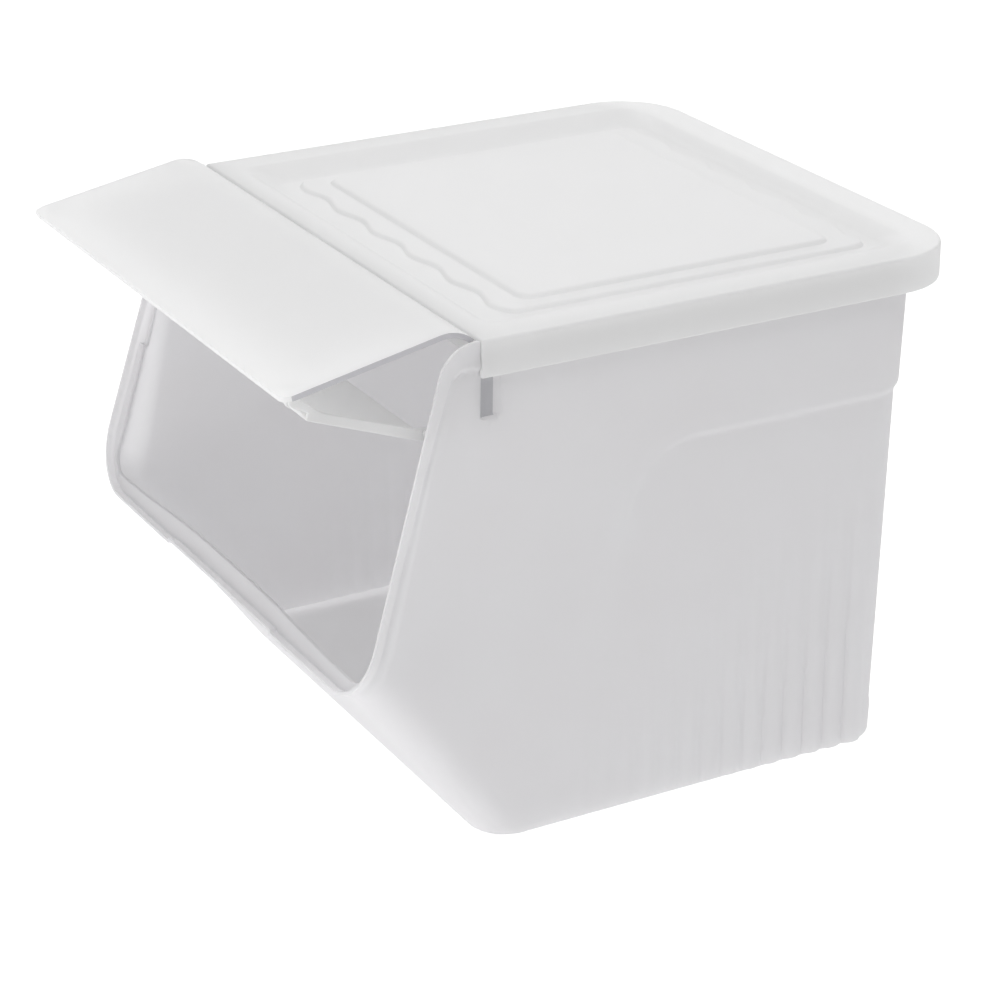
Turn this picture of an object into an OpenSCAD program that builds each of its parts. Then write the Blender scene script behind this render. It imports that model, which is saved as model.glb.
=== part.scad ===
// Rice bin with a flip lid: an open bin, a lift-off lid and a pouring flap made of two folding panels.
// Millimetres. +Z is up, the pouring mouth faces -Y, and the origin is the centre of the base underside.

/* [Bin] */
// Half width of the bin at its base
base_half_w = 139.2; // [136:0.1:141]
// Half depth of the bin at its base
base_half_d = 114.5; // [110:0.5:118]
// Height of the walls that carry the lid
wall_top = 258.2; // [257:0.1:258.2]
// Draft of the walls, in degrees from vertical
draft = 1.86; // [1.5:0.01:1.9]
// Thickness of the walls
wall_t = 2.5; // [2:0.1:2.6]
// Thickness of the floor
floor_t = 2.8; // [2:0.1:4]
// Corner radius at the base
base_r = 20; // [16:0.5:24]
// Radius of the rear corners at the top
top_r = 28; // [24:0.5:32]

/* [Wall relief] */
// Height of the step above the sunken side and rear panels
recess_top = 191; // [180:0.5:200]
// Depth of the sunken panels under that step
recess_depth = 2; // [1:0.1:2.2]
// Height of the foot below the sunken panels
foot_h = 18; // [10:1:24]
// Depth of the sunken panels over the foot
foot_depth = 0.6; // [0.4:0.1:1]
// Number of flutes on each side wall
side_flutes = 14; // [6:1:16]
// Number of flutes on the rear wall
rear_flutes = 15; // [5:2:15]
// Distance between flutes
flute_pitch = 12; // [10:0.5:12.5]
// How much further the last flute stands out than the first
flute_rise = 2.95; // [2:0.05:3]
// Radius of each flute
flute_r = 9; // [8:0.5:12]

/* [Mouth rim] */
// Lean of the mouth from vertical, in degrees
lean = 17; // [15:0.5:18]
// How far the rim stands out past the base on each side, at the lid's level
rim_out = 10.6; // [9.8:0.1:10.8]
// Growth of that half width for each millimetre down the rim
rim_spread = 0.0472; // [0.03:0.001:0.055]
// Length of the rim down its slope
rim_len = 173.2; // [168:0.1:175]
// Radius of the rim's two lower corners
rim_corner_r = 30; // [24:1:34]
// Radius of the bend from the mouth to the lid
bend_r = 20; // [18:0.5:21]
// Thickness of the lip
lip_t = 2.2; // [1.8:0.1:2.4]
// Depth of the flare behind the lip
flare_depth = 14.7; // [12:0.1:15]
// Width of the shallow notch in the middle of the lower lip
notch_w = 120; // [60:5:160]

/* [Lid] */
// How far the lid stands out past the base at the rear
lid_out = 29.3; // [24:0.1:31]
// Thickness of the lid's top
lid_t = 2.5; // [2:0.1:2.5]
// Height of the skirt
skirt_h = 18; // [12:0.5:20]
// Thickness of the skirt
skirt_t = 2; // [1.6:0.1:2.2]
// Radius of the lid's rear corners
lid_r = 37; // [32:1:40]
// Depth of the dish in the lid, round the raised panel
dish_depth = 6; // [4:0.1:6]
// Height of the first step of the raised panel over the dish
tread_h = 1.9; // [1:0.1:2.4]
// Height of the raised panel over the dish
panel_h = 3.8; // [3:0.1:5]

/* [Flap] */
// Thickness of the upper panel
flap_t = 2.5; // [2:0.1:2.5]
// Thickness of the lower panel
fold_t = 2; // [1.6:0.1:2.2]
// Gap between the lower panel and the rim on each side
fold_gap = 8; // [7.8:0.1:9]
// Radius of the bend behind the upper panel
flap_bend_r = 19.6; // [19:0.1:20]
// Radius of the hinge pins of the upper panel
hinge_r = 2.5; // [2:0.1:2.6]
// Radius of the fold pins of the lower panel
fold_pin_r = 1.8; // [1.5:0.1:2]
// Radius of the guide pins of the lower panel
guide_pin_r = 1.4; // [1.2:0.1:1.5]
// Swing of the upper panel from closed to open, in degrees
open_angle = 62.2; // [55:0.1:62.2]
// Fold of the lower panel at full opening, in degrees
fold_angle = 148.8; // [140:0.1:148.8]

/* [Fits] */
// Gap round every pin and between the panels
fit = 0.3; // [0.3:0.05:0.4]

/* [Hidden] */
$fn = 64;
hull_fn = 32;
far = 400;
// Reach of the cuts that are made along the mouth's normal
cut_below = 60;
cut_above = 30;
slope = tan(draft);
recess_slope = slope - (recess_depth - foot_depth) / (recess_top - foot_h);

// Heights and half widths of the lid and the rim
lid_top = wall_top + lid_t + fit;
rim_half_w = base_half_w + rim_out;
lid_half_w = rim_half_w + 0.2;
lid_rear = base_half_d + lid_out;

// Upper end of the mouth's plane, where it would meet the lid's level
rim_ahead = 25.7;
rim_y = -base_half_d - rim_ahead;
rim_z = lid_top;
// Centre of the bend, at equal distance from the mouth's plane and the lid's level
bend_s = 14.8;
bend_y = rim_y + bend_s;
lid_front = bend_y + 2.1;

// Lower corner of the front wall, as distance down the rim, and how it moves with the wall's thickness
low_corner_s = 165.3;
low_corner_r = 27;
front_slope = 0.2;
low_corner_per_inset = 1.256;
low_corner_per_ahead = 0.762;
notch_depth = 1.2;
// Depth of the straight part of the lip before the flare begins
lip_depth = 3.6;
flare_shift = 0.41;

// The flap's parts, as distance down the rim (s) and height over its plane (n), with the flap closed
flap_n = -1;
flap_edge_s = 99.1;
flap_bend_s = 20.6;
flap_bend_n = flap_n - flap_bend_r;
fold_s = 91.4;
fold_n = -8.1;
fold_edge_s = flap_edge_s + 0.4;
fold_end_s = 162.3;
guide_s = 159.5;
guide_n = -5.3;
hinge_y = lid_front + 0.3;
hinge_z = lid_top - 9.9;
under_n = flap_n - flap_t;

// Half widths of the upper panel at its bend and at its edge, and of its part between the walls
fold_half_w = rim_half_w - fold_gap;
flap_half_w = rim_half_w - 2.5;
flap_edge_half_w = rim_half_w - 0.7;
ear_x = fold_half_w + 1.7;
ear_t = 2.5;
ear_r = 4.2;
hinge_end_x = ear_x + 3.5;
ear_clear = 7.5;
full_width_y = hinge_y - ear_clear;
tail_y = hinge_y + 3.6;
boss_r = 7.2;
boss_top = hinge_z + 4.3;
lug_x = fold_half_w - 2.2;
lug_t = 2.4;
lug_r = 3.4;
fold_flange_t = 1.9;
fold_boss_r = 3.2;
guide_boss_r = 2.6;
guide_end_x = fold_half_w + 1.6;

// The lid's dish, raised panel and locating ring
dish_floor = lid_top - dish_depth;
dish_side = 17;
dish_ahead = 10.3;
dish_behind = 13.8;
dish_run = 17.5;
dish_r = 20;
dish_floor_r = 10;
tread_side = 20;
tread_ahead = 23;
tread_r = 8;
panel_side = 9.5;
panel_ahead = 13;
panel_behind = 14.3;
panel_r = 6;
dish_half_w = lid_half_w - dish_side;
dish_front = lid_front + dish_ahead;
dish_rear = lid_rear - dish_behind;
tread_half_w = dish_half_w - tread_side;
tread_front = dish_front + tread_ahead;
tread_rear = dish_rear - tread_side;
panel_half_w = tread_half_w - panel_side;
panel_front = tread_front + panel_ahead;
panel_rear = tread_rear - panel_behind;
ring_h = 14;
ring_t = 2;
ring_gap = 0.4;
ring_r = 24;
ring_setback = 27;
ring_low = lid_top - ring_h;
ring_half_w = wall_x(ring_low) - wall_t - ring_gap;
ring_rear = base_half_d + slope * ring_low - wall_t - ring_gap;
ring_front = lid_front + ring_setback;

// The rear wall stops lower than the side walls, where the lid's dish rests
rear_wall_y = base_half_d - wall_t;
rear_top = dish_floor - lid_t - fit;

// The ledge behind the lip, beside and below the panels
ledge_half_w = rim_half_w - 5.2;
ledge_spread = 0.0236;
ledge_s = 160;
ledge_n = under_n - 0.4;
ledge_t = 2.2;
ledge_step_s = 95;
ledge_drop = 2;
corner_gap_s = 164;
corner_gap_x = ledge_half_w - 10.6;
stop_s = 58;
stop_n = -8;
stop_size = [3, 8, 3.6];

// The sunken panels' shoulder and sloping front edge
shoulder_r = 22;
knee_z = recess_top - 26;
knee_y = -40.6;
edge_lean = 22.4;

// The shallow pockets under the lid's skirt
pocket_drop = 39;
pocket_z = rim_z - pocket_drop;
pocket_h = 22;
pocket_d = 9.3;
pocket_depth = 1.2;

function y_at(s, n) = rim_y - s * sin(lean) - n * cos(lean);
function z_at(s, n) = rim_z - s * cos(lean) + n * sin(lean);
function wall_x(z) = base_half_w + slope * z;
function rim_w(s) = rim_half_w + rim_spread * s;
rim_tilt = atan(rim_spread);
rim_corner_s = rim_len - rim_corner_r;
rim_corner_x = rim_w(rim_corner_s) - rim_corner_r / cos(rim_tilt);

// Places children in the mouth's plane: local Y runs up the rim and local Z points out of the mouth
module on_rim() {
    translate([0, rim_y, rim_z]) rotate([90 - lean, 0, 0]) children();
}

// Runs a side view, drawn as [y, z], across the bin between two values of x
module across(from_x, to_x) {
    translate([from_x, 0, 0]) rotate([90, 0, 90]) linear_extrude(to_x - from_x) children();
}

module both_sides() {
    children();
    mirror([1, 0, 0]) children();
}

// Side view of everything behind a surface that follows the mouth's plane and bends to level
module behind(centre_s, centre_n, radius) {
    cy = y_at(centre_s, centre_n);
    cz = z_at(centre_s, centre_n);
    n = centre_n + radius;
    translate([cy, -20]) square([far, cz + radius + 20]);
    translate([cy, cz]) circle(r = radius);
    polygon([
        [y_at(centre_s, n), z_at(centre_s, n)],
        [y_at(300, n), z_at(300, n)],
        [y_at(300, -300), z_at(300, -300)],
        [y_at(centre_s, -300), z_at(centre_s, -300)]
    ]);
}

module behind_rim() {
    behind(bend_s, -bend_r, bend_r);
}

module behind_flap(gap) {
    behind(flap_bend_s, flap_bend_n, flap_bend_r - flap_t - gap);
}

// Face view of the rim, drawn as [x, -s], pulled in by an inset
module rim_face(inset) {
    r = rim_corner_r - inset;
    top_x = rim_w(-30) - inset / cos(rim_tilt);
    side = [rim_corner_x + r * cos(rim_tilt), r * sin(rim_tilt) - rim_corner_s];
    foot = [rim_corner_x, -rim_corner_s - r];
    polygon([[-top_x, 30], [top_x, 30], side, foot, [-foot.x, foot.y], [-side.x, side.y]]);
    both_sides() translate([rim_corner_x, -rim_corner_s]) circle(r = r);
}

// Face view of the opening inside the ledge
module ledge_face() {
    polygon([
        [-ledge_half_w, 40], [ledge_half_w, 40],
        [ledge_half_w + ledge_spread * ledge_s, -ledge_s],
        [-ledge_half_w - ledge_spread * ledge_s, -ledge_s]
    ]);
    both_sides() translate([corner_gap_x, -corner_gap_s])
        square([ledge_half_w + ledge_spread * ledge_s - corner_gap_x - 1, 20]);
}

/* Bin body */

module disc(x, y, z, r) {
    both_sides() translate([x, y, z]) cylinder(r = r, h = 0.01, $fn = hull_fn);
}

module rim_disc(x, s, n, r) {
    both_sides() on_rim() translate([x, -s, n]) cylinder(r = r, h = 0.01, $fn = hull_fn);
}

// Block enclosed by the main walls, pulled in by an inset all round, from low_z up to high_z
module main_block(inset, low_z, high_z, ahead) {
    low_s = low_corner_s - low_corner_per_inset * inset - low_corner_per_ahead * ahead;
    low_r = low_corner_r - inset;
    front_s = low_s - low_r;
    front_z = z_at(front_s, ahead);
    hull() {
        disc(wall_x(low_z) - base_r, -base_half_d + base_r + front_slope * low_z, low_z, base_r - inset);
        disc(wall_x(low_z) - base_r, base_half_d - base_r + slope * low_z, low_z, base_r - inset);
        disc(wall_x(high_z) - top_r, base_half_d + slope * high_z - top_r, high_z, top_r - inset);
        rim_disc(wall_x(front_z) - inset - low_r, front_s, ahead, low_r);
        rim_disc(wall_x(z_at(-10, ahead)) - inset - 3, -10, ahead, 3);
    }
}

// Block under the flare, which opens at 45 degrees towards the lip
module flare_block(inset) {
    r = rim_corner_r - inset;
    deep_r = r - flare_depth;
    face_n = -lip_depth - inset * flare_shift;
    deep_n = face_n - flare_depth;
    hull() {
        rim_disc(rim_corner_x, rim_corner_s, 1, r);
        rim_disc(rim_corner_x, rim_corner_s, face_n, r);
        rim_disc(rim_corner_x, rim_corner_s, deep_n, deep_r);
        rim_disc(rim_w(-20) - inset - 3, -20, 1, 3);
        rim_disc(rim_w(-20) - inset - 3, -20, face_n, 3);
        rim_disc(rim_w(-20) - inset - flare_depth - 3, -20, deep_n, 3);
    }
}

// Block enclosed by the sunken panels of the side and rear walls
module recess_block(inset) {
    low_z = foot_h - 6;
    high_z = recess_top + 6;
    low_in = foot_depth - slope * foot_h + recess_slope * (foot_h - low_z);
    high_in = low_in - recess_slope * (high_z - low_z);
    hull() {
        disc(base_half_w - base_r - low_in, -150, low_z, base_r - inset);
        disc(base_half_w - base_r - low_in, base_half_d - base_r - low_in, low_z, base_r - inset);
        disc(base_half_w - top_r - high_in, -150, high_z, top_r - inset);
        disc(base_half_w - top_r - high_in, base_half_d - top_r - high_in, high_z, top_r - inset);
    }
}

// Side view of the sunken panels: a level top, a round shoulder and a sloping front edge
module recess_face(grow) {
    edge_slope = tan(edge_lean);
    front_y = knee_y - grow;
    low_z = foot_h + grow;
    shoulder_y = front_y + shoulder_r + 5;
    shoulder_z = recess_top + grow - shoulder_r;
    translate([shoulder_y, low_z]) square([far, recess_top + grow - low_z]);
    translate([shoulder_y, shoulder_z]) circle(r = shoulder_r);
    polygon([
        [front_y, knee_z], [front_y - (knee_z - low_z) * edge_slope, low_z],
        [shoulder_y, low_z], [shoulder_y, shoulder_z],
        [shoulder_y - shoulder_r * cos(18), shoulder_z + shoulder_r * sin(18)]
    ]);
}

module recess_cut() {
    difference() {
        across(-far / 2, far / 2) recess_face(0);
        recess_block(0);
    }
}

// Upright flutes that stand out of the drafted walls near the base and fade into them further up
module flutes() {
    both_sides() for (k = [0 : side_flutes - 1]) {
        reach = base_half_w + 0.4 + flute_rise * k / (side_flutes - 1);
        translate([reach - flute_r, -62.4 + flute_pitch * k, 0]) cylinder(r = flute_r, h = recess_top - 5);
    }
    for (k = [-(rear_flutes - 1) / 2 : (rear_flutes - 1) / 2])
        translate([flute_pitch * k, base_half_d + 0.4 + flute_rise - flute_r, 0]) cylinder(r = flute_r, h = recess_top - 5);
}

module outer_form() {
    difference() {
        main_block(0, 0, lid_top + 1, 0);
        recess_cut();
    }
    flutes();
    flare_block(0.2);
}

module cavity() {
    difference() {
        main_block(wall_t, floor_t, lid_top + 15, 12);
        difference() {
            across(-far / 2, far / 2) recess_face(wall_t);
            recess_block(wall_t);
        }
    }
    flare_block(lip_t + 0.4);
}

// Side view of the walls: level under the lid, round at the hinge, then following the closed flap
module wall_side() {
    intersection() {
        behind_flap(0.4);
        translate([-far, 0]) square([2 * far, far]);
    }
    intersection() {
        translate([hinge_y, hinge_z]) circle(r = boss_r);
        translate([-far, 0]) square([2 * far, boss_top]);
    }
    translate([lid_front, 0]) square([rear_wall_y - lid_front, wall_top]);
    square([far, rear_top]);
}

module lip() {
    intersection() {
        across(-far / 2, far / 2) difference() {
            behind_rim();
            behind_flap(3.5);
            translate([lid_front - 0.4, 0]) square([far, far]);
        }
        on_rim() translate([0, 0, -cut_below]) linear_extrude(cut_below + cut_above) difference() {
            rim_face(0);
            rim_face(lip_t);
        }
    }
}

// Ledge behind the lip: high beside and below the lower panel, one step lower beside the upper panel
module ledge() {
    intersection() {
        on_rim() translate([0, 0, ledge_n - ledge_t]) linear_extrude(ledge_t) difference() {
            rim_face(0.5);
            ledge_face();
        }
        on_rim() translate([-far / 2, -far - ledge_step_s, -far / 2]) cube(far);
    }
    intersection() {
        across(-far / 2, far / 2) difference() {
            behind_flap(ledge_drop);
            behind_flap(ledge_drop + 3);
            translate([lid_front - 0.4, 0]) square([far, far]);
        }
        on_rim() translate([0, -ledge_step_s - 0.5, -cut_below]) linear_extrude(cut_below + cut_above) intersection() {
            difference() {
                translate([0, ledge_step_s + 0.5]) rim_face(0.5);
                translate([0, ledge_step_s + 0.5]) ledge_face();
            }
            translate([-far / 2, 0]) square([far, far]);
        }
    }
}

// Small stop on the ledge that the guide pin passes just before the flap is fully open
module stop_tab() {
    on_rim() both_sides() translate([rim_w(stop_s) - lip_t - stop_size.x + 0.6, -stop_s - stop_size.y / 2, stop_n])
        cube(stop_size);
}

module bin_body() {
    color("whitesmoke") difference() {
        union() {
            difference() {
                intersection() {
                    outer_form();
                    across(-far / 2, far / 2) wall_side();
                }
                cavity();
            }
            lip();
            ledge();
            stop_tab();
        }
        // Bores for the upper panel's hinge pins
        across(-hinge_end_x - 1.2, hinge_end_x + 1.2) translate([hinge_y, hinge_z]) circle(r = hinge_r + fit);
        // Shallow notch in the lower lip, where a finger lifts the flap
        on_rim() translate([-notch_w / 2, -rim_len - 1, -4]) cube([notch_w, 1 + notch_depth, 5]);
        // Shallow pockets under the lid's skirt, behind the cheeks of the rim
        both_sides() translate([wall_x(pocket_z + pocket_h / 2) - pocket_depth, lid_front, pocket_z])
            cube([4, pocket_d, pocket_h]);
    }
}

/* Lid */

// Outline of the lid with square front corners and round rear corners
module lid_outline(inset) {
    r = lid_r - inset;
    w = lid_half_w - inset;
    rear = lid_rear - inset;
    front = lid_front + inset;
    translate([-w, front]) square([2 * w, rear - r - front]);
    translate([-w + r, front]) square([2 * (w - r), rear - front]);
    translate([w - r, rear - r]) circle(r = r);
    translate([r - w, rear - r]) circle(r = r);
}

module rounded_face(half_w, front, rear, r) {
    translate([-half_w + r, front]) square([2 * (half_w - r), rear - front]);
    translate([-half_w, front + r]) square([2 * half_w, rear - front - 2 * r]);
    both_sides() {
        translate([half_w - r, front + r]) circle(r = r);
        translate([half_w - r, rear - r]) circle(r = r);
    }
}

module rounded_slab(half_w, front, rear, r, low, high) {
    translate([0, 0, low]) linear_extrude(high - low) rounded_face(half_w, front, rear, r);
}

// Rib under the lid that drops inside the side and rear walls and keeps the lid in place
module locating_ring() {
    translate([0, 0, ring_low]) linear_extrude(lid_top - lid_t - ring_low) difference() {
        rounded_face(ring_half_w, ring_front - far / 2, ring_rear, ring_r);
        rounded_face(ring_half_w - ring_t, ring_front - far / 2, ring_rear - ring_t, ring_r - ring_t);
        translate([-far / 2, ring_front - far]) square([far, far]);
    }
}

// Dish between the lid's flat rim and the foot of the raised panel, lowered by a drop
module dish(drop) {
    hull() {
        rounded_slab(dish_half_w, dish_front, dish_rear, dish_r, lid_top - drop, lid_top - drop + 0.01);
        rounded_slab(dish_half_w - dish_run, dish_front + dish_run * 0.6, dish_rear - dish_run * 0.7,
            dish_floor_r, dish_floor - drop, dish_floor - drop + 0.01);
    }
}

// Skirt of the lid, open at the front, which hangs from the flat rim
module lid_skirt() {
    color("white") translate([0, 0, lid_top - skirt_h]) difference() {
        linear_extrude(skirt_h - lid_t) lid_outline(0);
        translate([0, 0, -1]) linear_extrude(skirt_h) {
            lid_outline(skirt_t);
            translate([-lid_half_w + skirt_t, lid_front - 1]) square([2 * (lid_half_w - skirt_t), lid_r]);
        }
    }
}

module lid() {
    under = dish_floor - lid_t;
    color("white") difference() {
        union() {
            difference() {
                union() {
                    translate([0, 0, lid_top - lid_t]) linear_extrude(lid_t) lid_outline(0);
                    dish(lid_t);
                }
                translate([0, 0, 0.01]) dish(0);
            }
            rounded_slab(tread_half_w, tread_front, tread_rear, tread_r, under, dish_floor + tread_h);
            rounded_slab(panel_half_w, panel_front, panel_rear, panel_r, under, dish_floor + panel_h);
            locating_ring();
        }
        // Hollow under the raised panel, so that its thickness stays even
        rounded_slab(panel_half_w - lid_t, panel_front + lid_t, panel_rear - lid_t, panel_r - 1,
            under - 1, dish_floor + panel_h - lid_t);
        // Clearance under the front edge for the turning flap
        across(-lid_half_w - 1, lid_half_w + 1) polygon([
            [lid_front - 1, lid_top - lid_t - 1], [lid_front + 3, lid_top - lid_t - 0.01],
            [lid_front, lid_top - 1.2], [lid_front - 1, lid_top - 1.2]
        ]);
    }
}

/* Flap */

// Turns the closed upper panel, and all that it carries, about its hinge to the open position
module opened() {
    translate([0, hinge_y, hinge_z]) rotate([-open_angle, 0, 0]) translate([0, -hinge_y, -hinge_z]) children();
}

// Turns the closed lower panel about the fold
module folded() {
    fy = y_at(fold_s, fold_n);
    fz = z_at(fold_s, fold_n);
    translate([0, fy, fz]) rotate([fold_angle, 0, 0]) translate([0, -fy, -fz]) children();
}

// Side view of the upper panel: a flat leaf and a bend that tucks under the lid
module upper_side() {
    difference() {
        behind(flap_bend_s, flap_bend_n, flap_bend_r);
        behind(flap_bend_s, flap_bend_n, flap_bend_r - flap_t);
        polygon([
            [y_at(flap_edge_s, 10), z_at(flap_edge_s, 10)], [y_at(400, 10), z_at(400, 10)],
            [y_at(400, -400), z_at(400, -400)], [y_at(flap_edge_s, -400), z_at(flap_edge_s, -400)]
        ]);
        translate([tail_y, 0]) square([far, far]);
    }
}

// Face view of the upper panel, which widens towards its front edge
module upper_face() {
    r = 6;
    tilt = atan((flap_edge_half_w - flap_half_w) / (flap_edge_s - flap_bend_s));
    corner_s = flap_edge_s - r;
    corner_x = flap_edge_half_w - r * (1 + tan(tilt)) - 0.05;
    side = [corner_x + r * cos(tilt), r * sin(tilt) - corner_s];
    polygon([
        [-flap_half_w, 30], [flap_half_w, 30], [flap_half_w, -flap_bend_s], side,
        [corner_x, -flap_edge_s], [-corner_x, -flap_edge_s], [-side.x, side.y], [-flap_half_w, -flap_bend_s]
    ]);
    both_sides() translate([corner_x, -corner_s]) circle(r = r);
}

module fold_lug() {
    both_sides() across(lug_x - lug_t, lug_x) difference() {
        union() {
            translate([y_at(fold_s, fold_n), z_at(fold_s, fold_n)]) circle(r = lug_r);
            polygon([
                [y_at(fold_s - lug_r, under_n + 0.1), z_at(fold_s - lug_r, under_n + 0.1)],
                [y_at(fold_s + lug_r, under_n + 0.1), z_at(fold_s + lug_r, under_n + 0.1)],
                [y_at(fold_s + lug_r, fold_n), z_at(fold_s + lug_r, fold_n)],
                [y_at(fold_s - lug_r, fold_n), z_at(fold_s - lug_r, fold_n)]
            ]);
        }
        translate([y_at(fold_s, fold_n), z_at(fold_s, fold_n)]) circle(r = fold_pin_r + fit);
    }
}

module hinge_ears() {
    both_sides() {
        across(ear_x - ear_t, ear_x) {
            translate([hinge_y, hinge_z]) circle(r = ear_r);
            intersection() {
                behind(flap_bend_s, flap_bend_n, flap_bend_r - 1);
                translate([hinge_y - ear_r, hinge_z]) square([2 * ear_r - 0.6, 10]);
            }
        }
        across(ear_x - 0.5, hinge_end_x) translate([hinge_y, hinge_z]) circle(r = hinge_r);
    }
}

module upper_flap() {
    color("white") opened() {
        difference() {
            intersection() {
                across(-far / 2, far / 2) upper_side();
                on_rim() translate([0, 0, -cut_below]) linear_extrude(cut_below + cut_above) upper_face();
            }
            both_sides() across(ear_x, far / 2) translate([full_width_y, 0]) square([far, far]);
        }
        fold_lug();
        hinge_ears();
    }
}

// Side view of the lower panel's side flange, from the fold pin to the guide pin
module flange_side() {
    polygon([
        [y_at(fold_s, fold_n + fold_boss_r), z_at(fold_s, fold_n + fold_boss_r)],
        [y_at(fold_edge_s, under_n - 0.6), z_at(fold_edge_s, under_n - 0.6)],
        [y_at(fold_edge_s + 0.3, flap_n - fold_t + 0.2), z_at(fold_edge_s + 0.3, flap_n - fold_t + 0.2)],
        [y_at(fold_end_s - 1, flap_n - fold_t + 0.2), z_at(fold_end_s - 1, flap_n - fold_t + 0.2)],
        [y_at(fold_end_s - 1, guide_n), z_at(fold_end_s - 1, guide_n)],
        [y_at(guide_s, guide_n - guide_boss_r), z_at(guide_s, guide_n - guide_boss_r)],
        [y_at(fold_s, fold_n - fold_boss_r + 1), z_at(fold_s, fold_n - fold_boss_r + 1)]
    ]);
    translate([y_at(fold_s, fold_n), z_at(fold_s, fold_n)]) circle(r = fold_boss_r);
    translate([y_at(guide_s, guide_n), z_at(guide_s, guide_n)]) circle(r = guide_boss_r);
}

module lower_flap() {
    flange_x = fold_half_w - fold_flange_t;
    color("white") opened() folded() {
        on_rim() translate([-fold_half_w, -fold_end_s, flap_n - fold_t])
            cube([2 * fold_half_w, fold_end_s - fold_edge_s, fold_t]);
        both_sides() {
            across(flange_x, fold_half_w) flange_side();
            across(lug_x - lug_t, flange_x + 0.5) translate([y_at(fold_s, fold_n), z_at(fold_s, fold_n)])
                circle(r = fold_pin_r);
            across(fold_half_w - 0.5, guide_end_x) translate([y_at(guide_s, guide_n), z_at(guide_s, guide_n)])
                circle(r = guide_pin_r);
        }
    }
}

bin_body();
lid();
lid_skirt();
upper_flap();
lower_flap();
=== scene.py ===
import math

import bmesh
import bpy
from mathutils import Matrix, Vector


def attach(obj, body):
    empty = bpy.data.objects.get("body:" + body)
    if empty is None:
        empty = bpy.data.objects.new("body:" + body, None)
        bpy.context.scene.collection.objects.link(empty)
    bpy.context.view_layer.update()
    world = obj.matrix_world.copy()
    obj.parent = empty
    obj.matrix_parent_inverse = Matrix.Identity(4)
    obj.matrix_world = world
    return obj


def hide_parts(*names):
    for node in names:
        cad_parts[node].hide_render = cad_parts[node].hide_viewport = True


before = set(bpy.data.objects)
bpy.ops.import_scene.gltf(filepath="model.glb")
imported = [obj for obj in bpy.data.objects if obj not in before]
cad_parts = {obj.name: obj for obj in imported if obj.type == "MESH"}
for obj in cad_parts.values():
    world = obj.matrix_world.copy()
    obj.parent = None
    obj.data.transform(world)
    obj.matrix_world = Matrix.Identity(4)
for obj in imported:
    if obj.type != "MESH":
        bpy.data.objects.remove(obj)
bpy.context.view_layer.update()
mm = 0.001
print("frame loaded")


def linearColour(hexColour):
    # sRGB hex to linear light
    parts = [int(hexColour[i:i + 2], 16) / 255 for i in (1, 3, 5)]
    return tuple(c / 12.92 if c <= 0.04045 else ((c + 0.055) / 1.055) ** 2.4 for c in parts) + (1.0,)


def addNode(tree, kind, settings=None, links=None):
    node = tree.nodes.new(kind)
    for key, value in (settings or {}).items():
        if isinstance(key, int) or key in node.inputs:
            node.inputs[key].default_value = value
        else:
            setattr(node, key, value)
    for key, source in (links or {}).items():
        tree.links.new(source, node.inputs[key])
    return node


def addObject(name, data):
    thing = bpy.data.objects.new(name, data)
    bpy.context.scene.collection.objects.link(thing)
    return thing


def meshFrom(bm, name):
    mesh = bpy.data.meshes.new(name)
    bm.to_mesh(mesh)
    bm.free()
    return mesh


# Camera: a long lens that stands off the bin's right front corner and looks down on it
cameraSettings = {
    "place": (1.2459, -0.7172, 0.7294),
    "back": (0.8029, -0.4417, 0.4003),
    "roll": -0.11,
    "lens": 109.03,
    "sensor": 36,
    "clipStart": 0.05,
}


def makeCamera():
    data = bpy.data.cameras.new("studio camera")
    data.sensor_width = cameraSettings["sensor"]
    data.lens = cameraSettings["lens"]
    data.clip_start = cameraSettings["clipStart"]
    camera = addObject("studio camera", data)
    turn = (-Vector(cameraSettings["back"])).to_track_quat("-Z", "Y").to_matrix().to_4x4()
    roll = Matrix.Rotation(math.radians(cameraSettings["roll"]), 4, "Z")
    camera.matrix_world = Matrix.Translation(cameraSettings["place"]) @ turn @ roll
    bpy.context.scene.camera = camera


makeCamera()
print("camera ready")

# Sizes in millimetres that the bin, its lid and its flap share
quarter = math.radians(90)
lean = math.radians(17)
draft = math.tan(math.radians(1.86))
rimTop = (-140.2, 261.0)
bendRadius = 20.0
bendStart = 14.8
bendCentre = (rimTop[0] + bendStart, rimTop[1] - bendRadius)


def mix(a, b, t):
    return a + (b - a) * t


def smooth(low, high, value):
    t = min(1.0, max(0.0, (value - low) / (high - low)))
    return t * t * (3 - 2 * t)


def softMax(a, b, reach):
    h = max(reach - abs(a - b), 0.0) / reach
    return max(a, b) + h * h * reach / 4


def onRim(x, down, out):
    # A place by its distance down the leaning mouth and its height over it
    return Vector((x, rimTop[0] - down * math.sin(lean) - out * math.cos(lean),
                   rimTop[1] - down * math.cos(lean) + out * math.sin(lean)))


def sideView(outline):
    # Such places at the middle of the bin, as (y, z)
    return [(v.y, v.z) for v in (onRim(0, down, out) for down, out in outline)]


def downOf(y, z):
    return -((y - rimTop[0]) * math.sin(lean) + (z - rimTop[1]) * math.cos(lean))


def wallX(z):
    return tub["halfWidth"] + draft * z


def rimX(down):
    return tub["rimHalf"] + tub["rimSpread"] * down


def toObject(bm, name, body, nodes, material):
    bmesh.ops.scale(bm, vec=(mm, mm, mm), verts=bm.verts)
    mesh = meshFrom(bm, name)
    mesh.shade_smooth()
    mesh.materials.append(material)
    piece = addObject(name, mesh)
    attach(piece, body)
    if nodes:
        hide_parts(*nodes)
    return piece


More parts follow.
